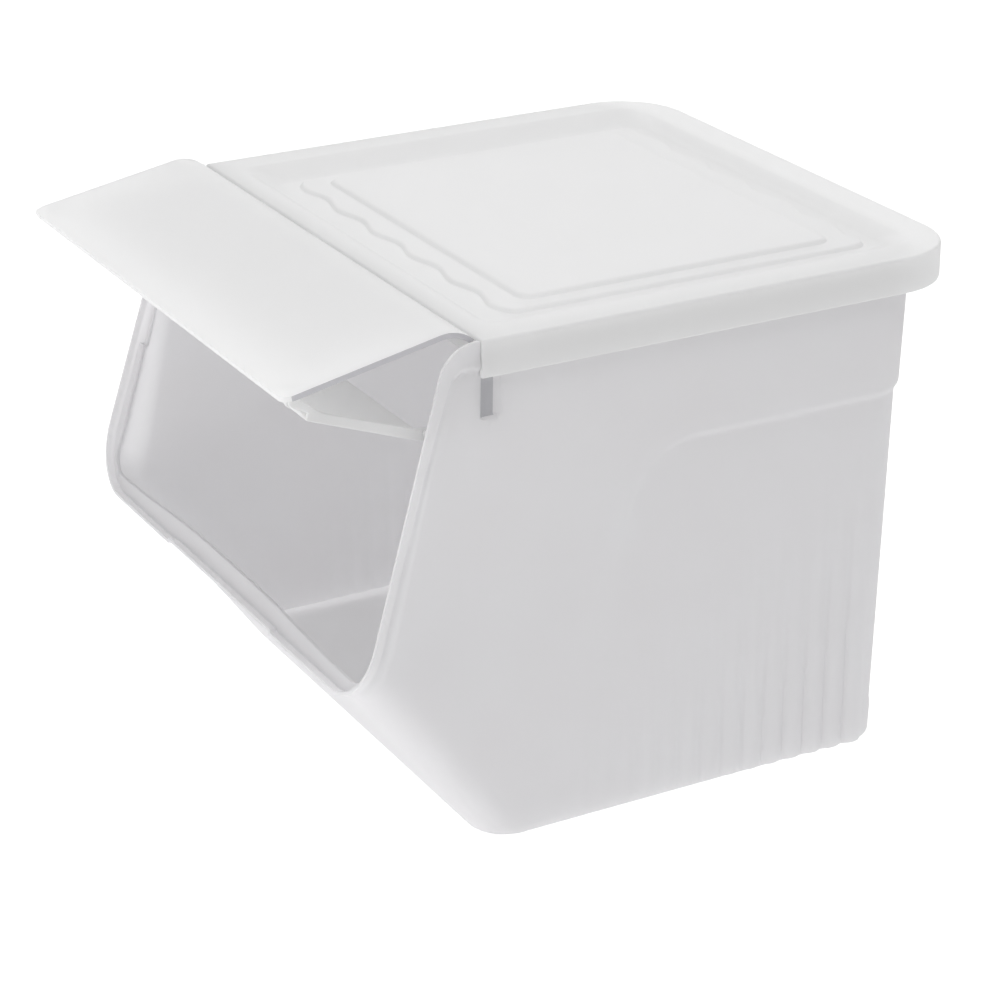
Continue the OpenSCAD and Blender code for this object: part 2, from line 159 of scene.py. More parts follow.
def gridOf(bm, columns, rows, place):
    # A flat grid whose corners are then moved to their places on the wall
    made = bmesh.ops.create_grid(bm, x_segments=columns, y_segments=rows, size=0.5)["verts"]
    for v in made:
        v.co = place(round((v.co.x + 0.5) * columns), round((v.co.y + 0.5) * rows))
    return made


tub = {
    "halfWidth": 139.2, "halfDepth": 114.5, "baseCorner": 20.0, "topCorner": 28.0,
    "wall": 2.4, "sideTop": 258.2, "rearTop": 252.2,
    "rimHalf": 149.8, "rimSpread": 0.0472, "rimFoot": 173.2, "rimCorner": 30.0,
    "lipDepth": 3.6, "cheekTop": 13.0, "cheekBend": 6.0, "flareSoft": 2.5,
    "cheekFade": (-0.2, 1.15), "lipFade": (-0.12, 0.42),  # shares of the bend and of the mouth
    "lipThin": 0.6, "lipThinFrom": 0.4, "lipThinReach": 8.0,
    "lowCorner": 165.3, "lowRise": 0.762, "lowRadius": 27.0,
    "lipEnd": -123.7, "fanStart": -70.0, "topBand": 8.0,
    "stepHeight": 191.0, "stepDepth": 2.0, "stepSoft": 5.0,
    "footHeight": 18.0, "footDepth": 0.6, "footFade": (-3, 2),
    "kneeY": -40.6, "kneeZ": 165.0, "edgeSlope": 0.412, "edgeAcross": 0.925,
    "shoulder": 22.0, "edgeFade": 0.4,
    "flutePitch": 12.0, "fluteRadius": 9.0, "fluteStart": -62.4, "sideFlutes": 14,
    "fluteFirst": 0.4, "fluteLast": 3.35, "fluteSoft": 0.9, "rearFlutes": 7,
    "notchHalf": 60.0, "notchDepth": 1.2, "notchStep": 0.25,
}
tubCounts = {"rear": 70, "corner": 14, "side": 96, "level": 14, "bend": 12, "plane": 36, "foot": 12,
             "flare": 14}
tub["rimCornerDown"] = tub["rimFoot"] - tub["rimCorner"]
tub["rimTilt"] = math.atan(tub["rimSpread"])
tub["rimCornerX"] = rimX(tub["rimCornerDown"]) - tub["rimCorner"] / math.cos(tub["rimTilt"])


def lowAt(depth):
    # How far down the front wall's lower corner lies, at a depth behind the mouth
    return tub["lowCorner"] + tub["lowRise"] * depth


def recessDepth(z):
    along = (z - tub["footHeight"]) / (tub["stepHeight"] - tub["footHeight"])
    return mix(tub["footDepth"], tub["stepDepth"], max(0.0, along))


def reliefAt(kind, run, z):
    # How far the wall stands out of its plain drafted form: a sunken panel with flutes on it
    top = tub["stepHeight"] - z
    inside = top
    soft = tub["stepSoft"]
    if kind == "side":
        edge = (run - tub["kneeY"] + (tub["kneeZ"] - z) * tub["edgeSlope"]) * tub["edgeAcross"]
        soft += max(0.0, tub["kneeZ"] - z) * tub["edgeFade"]
        r = tub["shoulder"]
        if edge < r and top < r:
            inside = r - math.hypot(r - edge, r - top)
        else:
            inside = min(edge, top)
        if top < edge:
            soft = tub["stepSoft"]
    mask = smooth(-soft / 2, soft / 2, inside) * smooth(*tub["footFade"], z - tub["footHeight"])
    panel = -recessDepth(z) * mask
    if kind == "side":
        k = round((run - tub["fluteStart"]) / tub["flutePitch"])
        k = min(max(k, 0), tub["sideFlutes"] - 1)
        off = run - tub["fluteStart"] - k * tub["flutePitch"]
        reach = mix(tub["fluteFirst"], tub["fluteLast"], k / (tub["sideFlutes"] - 1))
    else:
        k = min(round(run / tub["flutePitch"]), tub["rearFlutes"])
        off = run - k * tub["flutePitch"]
        reach = tub["fluteLast"]
    r = tub["fluteRadius"]
    if abs(off) < r * 0.95:
        flute = reach - r + math.sqrt(r * r - off * off) - draft * z
        panel = softMax(panel, flute, tub["fluteSoft"])
    return panel


def binColumns():
    # Columns run from the rear wall's middle round one side to the middle of the mouth's lower edge
    columns = []
    w, d, r, rTop = (tub[k] for k in ("halfWidth", "halfDepth", "baseCorner", "topCorner"))
    count = tubCounts["rear"]
    for i in range(count):
        x = (w - r) * i / count
        columns.append(dict(kind="rear", base=(x, d), normal=(0, 1), run=x,
                            top=(x, d + draft * tub["rearTop"], tub["rearTop"])))
    # The rear's low top runs into the corner, and the side's flutes begin past its middle
    count = tubCounts["corner"]
    for i in range(count):
        a = quarter * (1 - i / count)
        z = tub["rearTop"] if i < 5 else tub["sideTop"]
        cx, cy = wallX(z) - rTop, d + draft * z - rTop
        kind = "rearCorner" if i < 8 else "side"
        run = 999 if i < 8 else d - r + r * a
        columns.append(dict(kind=kind, base=(w - r + r * math.cos(a), d - r + r * math.sin(a)),
                            normal=(math.cos(a), math.sin(a)), run=run,
                            top=(cx + rTop * math.cos(a), cy + rTop * math.sin(a), z)))
    count = tubCounts["side"]
    z = tub["sideTop"]
    for i in range(count):
        y = mix(d - r, tub["fanStart"], i / count)
        columns.append(dict(kind="side", base=(w, y), normal=(1, 0), run=y, top=(wallX(z), y, z)))
    # The fan: columns that spread from the base's front corner to the lid's level and the mouth
    fan = []
    level, bend, plane = (tubCounts[k] for k in ("level", "bend", "plane"))
    for i in range(level):
        fan.append(("level", mix(tub["fanStart"], tub["lipEnd"] - 0.02, i / (level - 1))))
    fan += [("bend", -0.071), ("bend", -0.035)]
    fan += [("bend", i / bend) for i in range(bend)]
    fan += [("plane", i / plane) for i in range(plane)]
    for i, (where, at) in enumerate(fan):
        y = mix(tub["fanStart"], -(d - r), i / len(fan))
        end = {"top": (wallX(z), at, z)} if where == "level" else {"mouth": (where, at)}
        columns.append(dict(kind="side", base=(w, y), normal=(1, 0), run=None, **end))
    count = tubCounts["corner"]
    for i in range(count):
        a = quarter * i / count
        columns.append(dict(kind="plain", base=(w - r + r * math.cos(a), -(d - r) - r * math.sin(a)),
                            normal=(math.cos(a), -math.sin(a)), run=None, mouth=("corner", i / count)))
    half, step, count = tub["notchHalf"], tub["notchStep"], tubCounts["foot"]
    edges = [tub["rimCornerX"] + (half - tub["rimCornerX"]) * i / count for i in range(count)]
    edges += [half + step, half - step]
    edges += [(half - step) * (1 - i / count) for i in range(1, count + 1)]
    for x in edges:
        part = x / tub["rimCornerX"]
        columns.append(dict(kind="plain", base=((w - r) * part, -d), normal=(0, -1), run=None,
                            mouth=("foot", part)))
    return columns


def mouthOutlines(mouth, depth):
    # The wall's place and the lip's place at one depth behind the mouth, as (x, down)
    where, at = mouth
    low, r, rLip = lowAt(depth), tub["lowRadius"], tub["rimCorner"]
    wallStart = low - r
    cornerX = wallX(onRim(0, wallStart, -depth).z) - r
    lipStart = tub["rimCornerDown"] + rLip * math.sin(tub["rimTilt"])
    if where == "plane":
        down = mix(bendStart, wallStart, at)
        lipDown = mix(bendStart, lipStart, at)
        return (wallX(onRim(0, down, -depth).z), down), (rimX(lipDown), lipDown)
    if where == "corner":
        a = quarter * at
        b = mix(-tub["rimTilt"], quarter, at)
        wall = (cornerX + r * math.cos(a), wallStart + r * math.sin(a))
        lip = (tub["rimCornerX"] + rLip * math.cos(b), tub["rimCornerDown"] + rLip * math.sin(b))
        return wall, lip
    foot = tub["rimFoot"] - (tub["notchDepth"] if at * tub["rimCornerX"] < tub["notchHalf"] else 0)
    return (cornerX * at, low), (tub["rimCornerX"] * at, foot)


def bendPlace(at, depth):
    # Side view of the bend: level first, then an arc that meets the leaning mouth
    if at < 0:
        return bendCentre[0] - at * bendRadius, rimTop[1] - depth, 0.0
    a = at * (math.pi / 2 - lean)
    r = bendRadius - depth
    return bendCentre[0] - r * math.sin(a), bendCentre[1] + r * math.cos(a), a


def lipDepthAt(mouth):
    # The cheek stands flush with the lid's skirt at the top and narrows to a lip down the mouth
    where, at = mouth
    if where == "bend":
        return mix(tub["cheekTop"], tub["cheekBend"], smooth(*tub["cheekFade"], at))
    if where == "plane":
        return mix(tub["cheekBend"], tub["lipDepth"], smooth(*tub["lipFade"], at))
    return tub["lipDepth"]


def mouthPlace(mouth, depth, spread):
    # A place on the wall (spread 0) or on the lip (spread 1), or between them
    if mouth[0] == "bend":
        y, z, _ = bendPlace(mouth[1], depth)
        return Vector((mix(wallX(z), rimX(downOf(y, z)), spread), y, z))
    wall, lip = mouthOutlines(mouth, depth)
    lipDepth = lipDepthAt(mouth)
    if depth > lipDepth:
        wallAtLip, lip = mouthOutlines(mouth, lipDepth)
        x = wall[0] + (lip[0] - wallAtLip[0]) * spread
        down = wall[1] + (lip[1] - wallAtLip[1]) * spread
        return onRim(x, down, -depth)
    return onRim(lip[0], lip[1], -depth)


def flareReach(mouth):
    if mouth[0] == "bend":
        y, z, _ = bendPlace(mouth[1], lipDepthAt(mouth))
        return rimX(downOf(y, z)) - wallX(z)
    wall, lip = mouthOutlines(mouth, lipDepthAt(mouth))
    return math.hypot(lip[0] - wall[0], lip[1] - wall[1])


def flarePlace(mouth, step):
    # Steps 0 to 1 go from the plain wall over the flare to the lip's edge
    reach = flareReach(mouth)
    lipDepth, soft = lipDepthAt(mouth), tub["flareSoft"]
    total = lipDepth + reach + soft
    depth = total * (1 - step)
    if depth <= lipDepth:
        return mouthPlace(mouth, depth, 1)
    part = 1 - (depth - lipDepth) / reach
    spread = min(1.0, softMax(0.0, part, soft / reach if reach > soft else 0.99))
    return mouthPlace(mouth, depth, spread)


# Rows as (height, inset) round the foot, then as heights, close together at the steps
footRows = [(0.0, 2.2), (0.65, 0.65)]
wallRows = [2.2, 8, 12, 14.5, 17, 19.5, 22, 26]
wallRows += [26 + 7 * i for i in range(1, 19)]
wallRows += [155, 158.5, 162, 165, 168, 171, 174, 177, 180, 183]
wallRows += [185.5, 187.5, 189, 190.5, 192, 193.5, 195.5, 198, 202]
wallRows += [210, 219, 228, 238, tub["sideTop"] - tub["topBand"]]


def buildBinShell():
    columns = binColumns()
    full, count = wallRows[-1], tubCounts["flare"]
    steps = [i / count for i in range(1, count + 1)]
    rows = len(footRows) + len(wallRows) + len(steps) - 1

    def place(i, j):
        c = columns[i]
        bx, by = c["base"]
        nx, ny = c["normal"]
        if j < len(footRows):
            z, inset = footRows[j]
            return Vector((bx - nx * inset, by - ny * inset, z))
        j -= len(footRows)
        if "top" in c:
            tx, ty, tz = c["top"]
            if j < len(wallRows):
                part = wallRows[j] / full * (tz - tub["topBand"]) / tz
            else:
                part = 1 - tub["topBand"] * (1 - steps[j - len(wallRows)]) / tz
            p = Vector((bx, by, 0)).lerp(Vector((tx, ty, tz)), part)
        elif j < len(wallRows):
            p = Vector((bx, by, 0)).lerp(flarePlace(c["mouth"], 0), wallRows[j] / full)
        else:
            return flarePlace(c["mouth"], steps[j - len(wallRows)])
        if c["kind"] != "plain":
            kind = "side" if c["kind"] == "side" else "rear"
            run = p.y if c["run"] is None else c["run"]
            out = reliefAt(kind, run, p.z)
            p += Vector((nx, ny, 0)) * out
        return p

    bm = bmesh.new()
    gridOf(bm, len(columns) - 1, rows, place)
    for v in bm.verts:
        if abs(v.co.x) < 1e-4:
            v.co.x = 0
    bmesh.ops.mirror(bm, geom=bm.verts[:] + bm.edges[:] + bm.faces[:], axis="X", merge_dist=0.001)
    bmesh.ops.remove_doubles(bm, verts=bm.verts, dist=0.005)
    rim = [e for e in bm.edges if e.is_boundary and all(v.co.z < 0.01 for v in e.verts)]
    bmesh.ops.edgeloop_fill(bm, edges=rim)
    bmesh.ops.recalc_face_normals(bm, faces=bm.faces)
    # The base's faces have to look down
    if sum(f.normal.z * f.calc_area() for f in bm.faces if f.calc_center_median().z < 0.01) > 0:
        bmesh.ops.reverse_faces(bm, faces=bm.faces)
    for side in (1, -1):
        pressPocket(bm, side)
    return bm


pocket = {
    "y": (-122.6, -112.0), "z": (222.0, 243.8), "depth": 1.9, "slope": 0.95,
    "cutFrom": (140, -123.2, 212), "cutTo": (160, -102, 254),  # only faces in this box are cut
    # Where the pocket is darkened as painted shade, as (y, z) ranges; with no limit in x this also darkens
    # the wall's inner face behind it
    "painted": ((-122.0, -115.0), (223.0, 242.6)),
}


def pressPocket(bm, side):
    # A shallow pocket with sloping sides under the front end of the lid's skirt
    (front, back), (low, high), depth = pocket["y"], pocket["z"], pocket["depth"]
    slope = depth * pocket["slope"]
    cuts = [(1, at) for at in (front, front + slope, back - slope, back)]
    cuts += [(2, at) for at in (low, low + slope, high - slope, high)]

    def inBox(place):
        near = (place.x * side, place.y, place.z)
        return all(a < at < b for a, at, b in zip(pocket["cutFrom"], near, pocket["cutTo"]))

    for axis, at in cuts:
        faces = [f for f in bm.faces if inBox(f.calc_center_median())]
        edges = list({e for f in faces for e in f.edges})
        verts = list({v for f in faces for v in f.verts})
        normal = Vector((0, 0, 0))
        normal[axis] = 1
        bmesh.ops.bisect_plane(bm, geom=faces + edges + verts, dist=0.01,
                               plane_co=normal * at, plane_no=normal)
    for v in bm.verts:
        inward = min(v.co.y - front, back - v.co.y, v.co.z - low, high - v.co.z)
        if v.co.x * side > pocket["cutFrom"][0] and inward > 0:
            v.co.x -= side * depth * min(1.0, inward / slope)


def wallShare(place):
    # Full wall everywhere but in the last millimetres before the mouth's edge
    y, z = place.y / mm, place.z / mm
    if y >= tub["lipEnd"] + 0.4:
        return 1.0
    if z > bendCentre[1] - 2 and y < bendCentre[0]:
        depth = bendRadius - math.hypot(y - bendCentre[0], z - bendCentre[1])
    elif y > bendCentre[0] and z > 225:
        depth = rimTop[1] - z
    else:
        depth = (y - rimTop[0]) * math.cos(lean) - (z - rimTop[1]) * math.sin(lean)
    return min(1.0, max(0.0, (depth - tub["lipThinFrom"]) / tub["lipThinReach"]))


lid = {
    "half": 150.0, "front": -123.3, "rear": 143.8, "corner": 37.0, "frontCorner": 1.0,
    "top": 261.0, "thick": 2.5, "frontRelief": 0.8, "skirtFoot": 243.0, "skirt": 2.0,
    "dish": (133.0, -113.0, 130.0), "dishCorners": (11.0, 21.0),
    "floor": (115.5, -102.6, 118.0), "floorCorners": (9.0, 11.0), "floorLevel": 255.0,
    "tread": (113.0, -90.0, 111.0), "treadCorner": 9.0, "treadLevel": 256.9,
    "panel": (103.5, -77.0, 95.7), "panelCorner": 8.0, "panelLevel": 258.8,
    "wavePitch": 40.0, "waveDepth": 1.8, "waveFade": (2, 16),
    "frontRoll": 1.5, "innerInset": 2.7, "innerRise": 0.7,
    "ringHalf": 144.3, "ringRear": 119.6, "ringFront": -96.3, "ringFoot": 247.0, "ringCorner": 24.0,
    "ringThick": 2, "ringBevel": 0.5, "ringBuried": 0.5, "ringSlope": (17.5, 12.25),
}
lidCounts = {"front": 72, "frontCorner": 8, "side": 24, "rearCorner": 12, "rear": 72}

# The lid's edges as (inset, drop) pairs, or (inset, rise) for the floor and the skirt's foot
lidRolls = {
    "tier": ((4.2, 0), (3.0, 0.03), (2.3, 0.16), (1.7, 0.42), (1.1, 0.82), (0.5, 1.32), (0.1, 1.7),
             (-0.1, 1.86)),
    "tierFoot": 1.9,
    "floor": ((0.9, 0), (0.2, 0.03), (-0.8, 0.15), (-2.2, 0.5), (-4.5, 1.25)),
    "dish": ((4.5, 1.5), (2.6, 0.78), (1.2, 0.34), (0.0, 0.1), (-1.2, 0.01), (-2.4, 0)),
    "rim": ((1.7, 0), (0.8, 0.2), (0.2, 0.8), (0.0, 1.7)),
    "skirtFoot": ((0.0, 0.7), (0.2, 0.2), (0.7, 0), (1.3, 0), (1.8, 0.2), (2.0, 0.7)),
}


def cornerTurns(count):
    # Sine and cosine at the steps of a quarter turn, without its ends
    return [(math.sin(a), math.cos(a)) for a in (quarter * i / count for i in range(1, count))]


def lidLoop(half, front, rear, frontCorner, rearCorner, level, wave=0.0, skirtEnd=False):
    # One loop round the lid, counterclockwise from above, from the left end of its front edge
    points = []
    n = lidCounts["front"]
    flat = half - frontCorner
    xs = [mix(-flat, flat, i / n) for i in range(n + 1)]
    if skirtEnd:
        # Points stand close together where the skirt's two front ends begin
        inner = lid["half"] - lid["skirt"]
        xs = [-flat, -inner - 0.01, -inner + 0.04]
        xs += [mix(-inner + 0.5, inner - 0.5, i / (n - 6)) for i in range(n - 5)]
        xs += [inner - 0.04, inner + 0.01, flat]
    under = lid["top"] - lid["thick"]
    for i, x in enumerate(xs):
        # Between those ends the front has no skirt
        if skirtEnd and 1 < i < n - 1 and level < under:
            points.append((x, front + lid["frontRelief"], under))
        else:
            points.append((x, front, level))
    # Then the right side, the rear and the left side, with their corners
    f, r, n, m = frontCorner, rearCorner, lidCounts["side"], lidCounts["rear"]
    frontTurns, rearTurns = cornerTurns(lidCounts["frontCorner"]), cornerTurns(lidCounts["rearCorner"])
    points += [(flat + f * s, front + f * (1 - c), level) for s, c in frontTurns]
    points += [(half, mix(front + f, rear - r, i / n), level) for i in range(n + 1)]
    points += [(half - r * (1 - c), rear - r * (1 - s), level) for s, c in rearTurns]
    points += [(mix(half - r, r - half, i / m), rear, level) for i in range(m + 1)]
    points += [(r - half - r * s, rear - r * (1 - c), level) for s, c in rearTurns]
    points += [(-half, mix(rear - r, front + f, i / n), level) for i in range(n + 1)]
    points += [(-half + f * (1 - c), front + f * (1 - s), level) for s, c in frontTurns]
    if wave:
        # Waves along the front and rear edges, short of the corners
        shaped = []
        near, far = lid["waveFade"]
        for x, y, z in points:
            fade = smooth(half - near, half - far, abs(x)) if y < front + 1 or y > rear - 1 else 0
            shaped.append((x, y + wave * fade * math.cos(2 * math.pi * x / lid["wavePitch"]), z))
        points = shaped
    return [Vector(p) for p in points]


def stackLoops(bm, loops, capFirst=True, capLast=True):
    # The first loop is a circle moved into shape; each further one is pulled out of the one before
    count = len(loops[0])
    mark = bm.verts.layers.int.new("mark")
    ring = bmesh.ops.create_circle(bm, segments=count, radius=1)["verts"]
    for i, v in enumerate(ring):
        v[mark] = i
        v.co = loops[0][i]
    edges = list({e for v in ring for e in v.link_edges})
    if capFirst:
        bmesh.ops.edgeloop_fill(bm, edges=edges)
    for loop in loops[1:]:
        made = bmesh.ops.extrude_edge_only(bm, edges=edges)["geom"]
        edges = [g for g in made if isinstance(g, bmesh.types.BMEdge)]
        for v in (g for g in made if isinstance(g, bmesh.types.BMVert)):
            v.co = loop[v[mark]]
    if capLast:
        bmesh.ops.edgeloop_fill(bm, edges=edges)


def buildLid():
    def tier(name, corner, level, wave, soft, foot):
        half, front, rear = lid[name]
        loops = []
        for inset, drop in lidRolls["tier"] + ((-foot, lidRolls["tierFoot"]),):
            r = max(2.0, corner - inset)
            loops.append(lidLoop(half - inset * soft, front + inset * soft, rear - inset * soft,
                                 r, r, level - drop, wave))
        return loops

    def grown(name, inset, level):
        half, front, rear = lid[name]
        frontCorner, rearCorner = lid[name + "Corners"]
        return lidLoop(half - inset, front + inset, rear - inset,
                       frontCorner - inset, rearCorner - inset, level)

    top, thick = lid["top"], lid["thick"]
    loops = tier("panel", lid["panelCorner"], lid["panelLevel"], 0.0, 1.0, 1.2)
    loops += tier("tread", lid["treadCorner"], lid["treadLevel"], lid["waveDepth"], 0.85, 0.8)
    low = lid["floorLevel"]
    loops += [grown("floor", inset, low + rise) for inset, rise in lidRolls["floor"]]
    loops += [grown("dish", inset, top - drop) for inset, drop in lidRolls["dish"]]

    def outer(inset, level):
        # The roll along the front edge is wider and flatter than the others
        frontInset = inset * (lid["frontRoll"] if level > low else 1)
        return lidLoop(lid["half"] - inset, lid["front"] + frontInset, lid["rear"] - inset,
                       max(0.3, lid["frontCorner"] - inset), lid["corner"] - inset, level,
                       skirtEnd=True)

    loops += [outer(inset, top - drop) for inset, drop in lidRolls["rim"]]
    loops += [outer(inset, lid["skirtFoot"] + rise) for inset, rise in lidRolls["skirtFoot"]]
    under, inset = top - thick, lid["innerInset"]
    loops.append(outer(lid["skirt"], under - lid["innerRise"]))
    loops.append(lidLoop(lid["half"] - inset, lid["front"] + inset, lid["rear"] - inset,
                         1.0, lid["corner"] - inset, under))
    loops.append(grown("dish", 0.4, under))
    loops.append(grown("floor", 1.2, low - thick))
    half, front, rear = lid["panel"]
    for inset, level in ((2.5, low - thick), (2.9, lid["panelLevel"] - thick)):
        loops.append(lidLoop(half - inset, front + inset, rear - inset, 5, 5, level))
    bm = bmesh.new()
    stackLoops(bm, loops)
    bmesh.ops.recalc_face_normals(bm, faces=bm.faces)
    return bm


# A U-shaped rib under the lid that drops inside the bin's walls; it is open towards the flap
def buildRing():
    half, rear, r = lid["ringHalf"], lid["ringRear"], lid["ringCorner"]
    low = lid["ringFoot"]
    path = [((half, lid["ringFront"]), (1, 0)), ((half, 0.0), (1, 0))]
    for i in range(13):
        a = quarter * i / 12
        path.append(((half - r + r * math.cos(a), rear - r + r * math.sin(a)), (math.cos(a), math.sin(a))))
    path += [((-x, y), (-nx, ny)) for (x, y), (nx, ny) in reversed(path)]
    loops = []
    thick, bevel = lid["ringThick"], lid["ringBevel"]
    (dishHalf, _, dishRear), (sideRun, rearRun) = lid["dish"], lid["ringSlope"]
    for (x, y), (nx, ny) in path:
        # The rib ends in the dish's underside, which drops towards the lid's middle
        dropped = min(1.0, max(0.0, min((dishHalf - abs(x)) / sideRun, (dishRear - y) / rearRun)))
        high = lid["top"] - lid["thick"] + lid["ringBuried"] - dropped * (lid["top"] - lid["floorLevel"])
        section = [(0, high), (0, low + bevel), (bevel, low),
                   (thick - bevel, low), (thick, low + bevel), (thick, high)]
        loops.append([Vector((x - nx * inset, y - ny * inset, z)) for inset, z in section])
    bm = bmesh.new()
    stackLoops(bm, loops)
    return bm


def across(bm, outline, fromX, toX, turn, bothSides=True):
    # A side view given as (y, z), run across the bin and capped, then turned with its panel
    fresh = []
    for side in ((1, -1) if bothSides else (1,)):
        ring = bmesh.ops.create_circle(bm, cap_ends=True, segments=len(outline), radius=1)["verts"]
        for v, (y, z) in zip(ring, outline):
            v.co = (fromX * side, y, z)
        face = list({f for v in ring for f in v.link_faces})
        made = bmesh.ops.extrude_face_region(bm, geom=face, use_keep_orig=True)["geom"]
        ends = [g for g in made if isinstance(g, bmesh.types.BMVert)]
        bmesh.ops.translate(bm, verts=ends, vec=((toX - fromX) * side, 0, 0))
        fresh += ring + ends
    bmesh.ops.transform(bm, matrix=turn, verts=fresh)
    bmesh.ops.recalc_face_normals(bm, faces=list({f for v in fresh for f in v.link_faces}))
    return fresh


def circleOutline(y, z, r, count=24):
    turns = [2 * math.pi * i / count for i in range(count)]
    return [(y + r * math.cos(a), z + r * math.sin(a)) for a in turns]


def arcAngles(start, count):
    # Every 15 degrees from the start
    return [math.radians(start + 15 * i) for i in range(count)]


# Two panels that fold together: the upper turns on the bin, the lower on the upper one's front edge
flap = {
    "hinge": (-123.0, 251.1), "openAngle": 62.2, "foldAngle": 148.8,
    "face": -1.0, "thick": 2.5, "edge": 99.1, "edgeCorner": 6.0,
    "bend": (20.6, -20.6), "bendRadius": 19.6, "tail": -119.4,
    "halfWidth": 147.3, "edgeHalfWidth": 149.1, "innerHalfWidth": 143.5, "sideBand": 3.4,
    # paintedEdge: how far in from the side edge the painted shade begins
    "fullWidthFrom": -133.0, "sideColumns": 2, "halfColumns": 40, "paintedEdge": 0.3,
    "fold": (91.4, -8.1), "lugX": 139.6, "lugThick": 2.4, "lugRadius": 3.4,
    "earX": 143.5, "earThick": 2.5, "earRadius": 4.2, "earRise": 2.4,
    "pinRadius": 2.5, "pinEnd": 144.8, "buried": 0.4,
    "lowerHalf": 141.8, "lowerStart": 99.5, "lowerEnd": 162.3, "lowerThick": 2.0,
    "lowerRoll": ((0, 0.6), (0.25, 0.15), (0.8, 0)),
    "flangeThick": 1.9, "flangeEdge": -5.9, "foldBoss": 2.7, "foldPin": 1.8,
    "guide": (159.5, -5.3), "guideBoss": 2.0, "guidePin": 1.4, "guideReach": 1.6,
}


flap["spread"] = (flap["edgeHalfWidth"] - flap["halfWidth"]) / (flap["edge"] - flap["bend"][0])


def aboutX(y, z, degrees):
    turn = Matrix.Rotation(math.radians(degrees), 4, "X")
    return Matrix.Translation((0, y, z)) @ turn @ Matrix.Translation((0, -y, -z))


opened = aboutX(*flap["hinge"], -flap["openAngle"])
foldPlace = onRim(0, *flap["fold"])
folded = opened @ aboutX(foldPlace.y, foldPlace.z, flap["foldAngle"])


def upperRows():
    # The panel's side view from its front edge over the bend to its tail, with each row's half width
    rows = []
    bendDown, bendOut = flap["bend"]
    spread, r = flap["spread"], flap["edgeCorner"]
    for i in range(9):
        a = quarter * (1 - i / 8)
        down = flap["edge"] - r + r * math.sin(a)
        half = flap["halfWidth"] + spread * (down - bendDown) - r + r * math.cos(a)
        rows.append((onRim(0, down, flap["face"]), half))
    for i in range(1, 15):
        down = mix(flap["edge"] - r, bendDown, i / 14)
        rows.append((onRim(0, down, flap["face"]), flap["halfWidth"] + spread * (down - bendDown)))
    centre = onRim(0, bendDown, bendOut)
    for i in range(1, 19):
        a = quarter - lean - (quarter - lean) * i / 18
        out = Vector((0, -math.sin(a), math.cos(a)))
        rows.append((centre + flap["bendRadius"] * out, flap["halfWidth"]))
    for i in range(1, 4):
        rows.append((Vector((0, mix(centre.y, flap["tail"], i / 3), rows[-1][0].z)), flap["halfWidth"]))
    return rows


def buildUpper():
    rows = upperRows()
    inner, side, middle = flap["innerHalfWidth"], flap["sideColumns"], flap["halfColumns"]

    def place(i, j):
        # Columns lie evenly between the ears, and a narrow band runs down each side
        centre, half = rows[j]
        limit = min(inner, half - flap["sideBand"])
        at = i - side - middle
        if at < -middle:
            x = -mix(half, limit, i / side)
        elif at > middle:
            x = mix(limit, half, (at - middle) / side)
        else:
            x = at / middle * limit
        return Vector((x, centre.y, centre.z))

    bm = bmesh.new()
    gridOf(bm, 2 * (side + middle), len(rows) - 1, place)
    # The rear corners are cut away beside the ears
    cut = [f for f in bm.faces if abs(f.calc_center_median().x) > inner
           and f.calc_center_median().y > flap["fullWidthFrom"]]
    bmesh.ops.delete(bm, geom=cut, context="FACES")
    bmesh.ops.recalc_face_normals(bm, faces=bm.faces)
    # The outer face looks forwards before the panel is turned open
    places = {f: f.calc_center_median() for f in bm.faces}
    sample = min(places, key=lambda f: abs(places[f].x) + abs(places[f].z - 200))
    if sample.normal.y > 0:
        bmesh.ops.reverse_faces(bm, faces=bm.faces)
    bmesh.ops.transform(bm, matrix=opened, verts=bm.verts)
    return bm


def buildLugs():
    # Ears and pins at the bin's hinge, and lugs that carry the fold
    bm = bmesh.new()
    y, z = flap["hinge"]
    r, buried = flap["earRadius"], flap["buried"]
    ear = [(y + r * math.cos(a), z + r * math.sin(a)) for a in arcAngles(180, 13)]
    ear += [(y + r - 0.6, z + flap["earRise"]), (y - r, z + flap["earRise"])]
    across(bm, ear, flap["earX"] - flap["earThick"], flap["earX"], opened)
    across(bm, circleOutline(y, z, flap["pinRadius"]), flap["earX"] - buried, flap["pinEnd"], opened)
    down, out = flap["fold"]
    r = flap["lugRadius"]
    under = flap["face"] - flap["thick"] + buried
    lug = [(down + r * math.cos(a), out + r * math.sin(a)) for a in arcAngles(180, 13)]
    lug += [(down + r, under), (down - r, under)]
    across(bm, sideView(lug), flap["lugX"] - flap["lugThick"], flap["lugX"], opened)
    return bm


